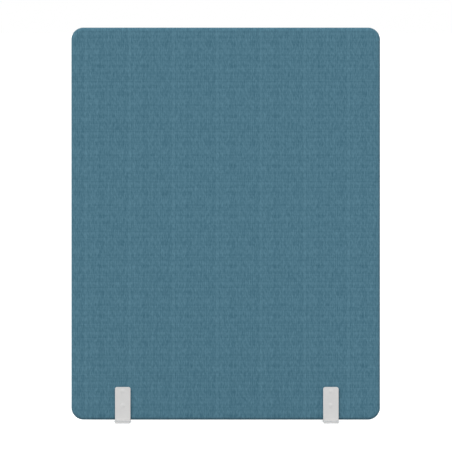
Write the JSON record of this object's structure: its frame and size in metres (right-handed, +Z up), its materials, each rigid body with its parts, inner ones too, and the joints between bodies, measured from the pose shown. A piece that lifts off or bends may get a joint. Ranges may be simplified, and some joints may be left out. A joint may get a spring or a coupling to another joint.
{
  "type": "desk privacy panel",
  "caption": "Upright fabric-covered acoustic desk privacy panel with rounded corners, standing on clamp-on steel feet with a screw-driven pressure pad each.",
  "frame": {"origin": "on the desk's surface, under the middle of the panel", "axes": "+Z up, +X right as seen from the front, +Y to the rear, where the clamp knobs are"},
  "size_m": [0.6, 0.2, 0.7661],
  "materials": {
    "panel_fabric": "matte",
    "frame_wood": "matte",
    "core_felt": "matte",
    "fibre_board": "matte",
    "spline_plastic": "matte",
    "powder_coated_steel": "satin",
    "zinc_steel": "satin",
    "knob_plastic": "matte",
    "clear_grey_rubber": "matte",
    "black_rubber": "matte"
  },
  "bodies": {
    "panel": {"top_rail": "frame_wood", "bottom_rail": "frame_wood", "left_stile": "frame_wood", "right_stile": "frame_wood", "frame_dowels": "frame_wood", "acoustic_core": "core_felt", "front_backing_board": "fibre_board", "rear_backing_board": "fibre_board", "front_fabric_cover": "panel_fabric", "rear_fabric_cover": "panel_fabric", "edge_spline": "spline_plastic"},
    "left_foot": {"left_base_plate": "powder_coated_steel", "left_front_tab": "powder_coated_steel", "left_rear_tab": "powder_coated_steel", "left_weld_beads": "powder_coated_steel", "left_floor_pads": "clear_grey_rubber", "left_edge_liner": "clear_grey_rubber", "left_front_grip_pad": "clear_grey_rubber", "left_rivet_nut": "zinc_steel"},
    "left_pressure_pad": {"left_pressure_plate": "zinc_steel", "left_pressure_pad": "black_rubber"},
    "left_clamp_screw": {"left_clamp_screw": "zinc_steel", "left_retaining_clip": "zinc_steel", "left_clamp_knob": "knob_plastic"},
    "right_foot": {"right_base_plate": "powder_coated_steel", "right_front_tab": "powder_coated_steel", "right_rear_tab": "powder_coated_steel", "right_weld_beads": "powder_coated_steel", "right_floor_pads": "clear_grey_rubber", "right_edge_liner": "clear_grey_rubber", "right_front_grip_pad": "clear_grey_rubber", "right_rivet_nut": "zinc_steel"},
    "right_pressure_pad": {"right_pressure_plate": "zinc_steel", "right_pressure_pad": "black_rubber"},
    "right_clamp_screw": {"right_clamp_screw": "zinc_steel", "right_retaining_clip": "zinc_steel", "right_clamp_knob": "knob_plastic"}
  },
  "joints": [
    {"name": "left_foot_slide", "type": "slide", "parent": "panel", "child": "left_foot", "axis": [1, 0, 0], "range_m": [-0.06, 0.14]},
    {"name": "left_pad_travel", "type": "slide", "parent": "left_foot", "child": "left_pressure_pad", "axis": [0, 1, 0], "range_m": [0, 0.004]},
    {"name": "left_screw_turn", "type": "hinge", "parent": "left_pressure_pad", "child": "left_clamp_screw", "pos_m": [-0.2, 0, 0.032], "axis": [0, 1, 0], "range_deg": [0, 1440]},
    {"name": "right_foot_slide", "type": "slide", "parent": "panel", "child": "right_foot", "axis": [1, 0, 0], "range_m": [-0.14, 0.056]},
    {"name": "right_pad_travel", "type": "slide", "parent": "right_foot", "child": "right_pressure_pad", "axis": [0, 1, 0], "range_m": [0, 0.004]},
    {"name": "right_screw_turn", "type": "hinge", "parent": "right_pressure_pad", "child": "right_clamp_screw", "pos_m": [0.2045, 0, 0.032], "axis": [0, 1, 0], "range_deg": [0, 1440]}
  ],
  "couplings": [
    {"joint": "left_screw_turn", "follows": "left_pad_travel", "rad_per_m": 6283.2},
    {"joint": "right_screw_turn", "follows": "right_pad_travel", "rad_per_m": 6283.2}
  ]
}
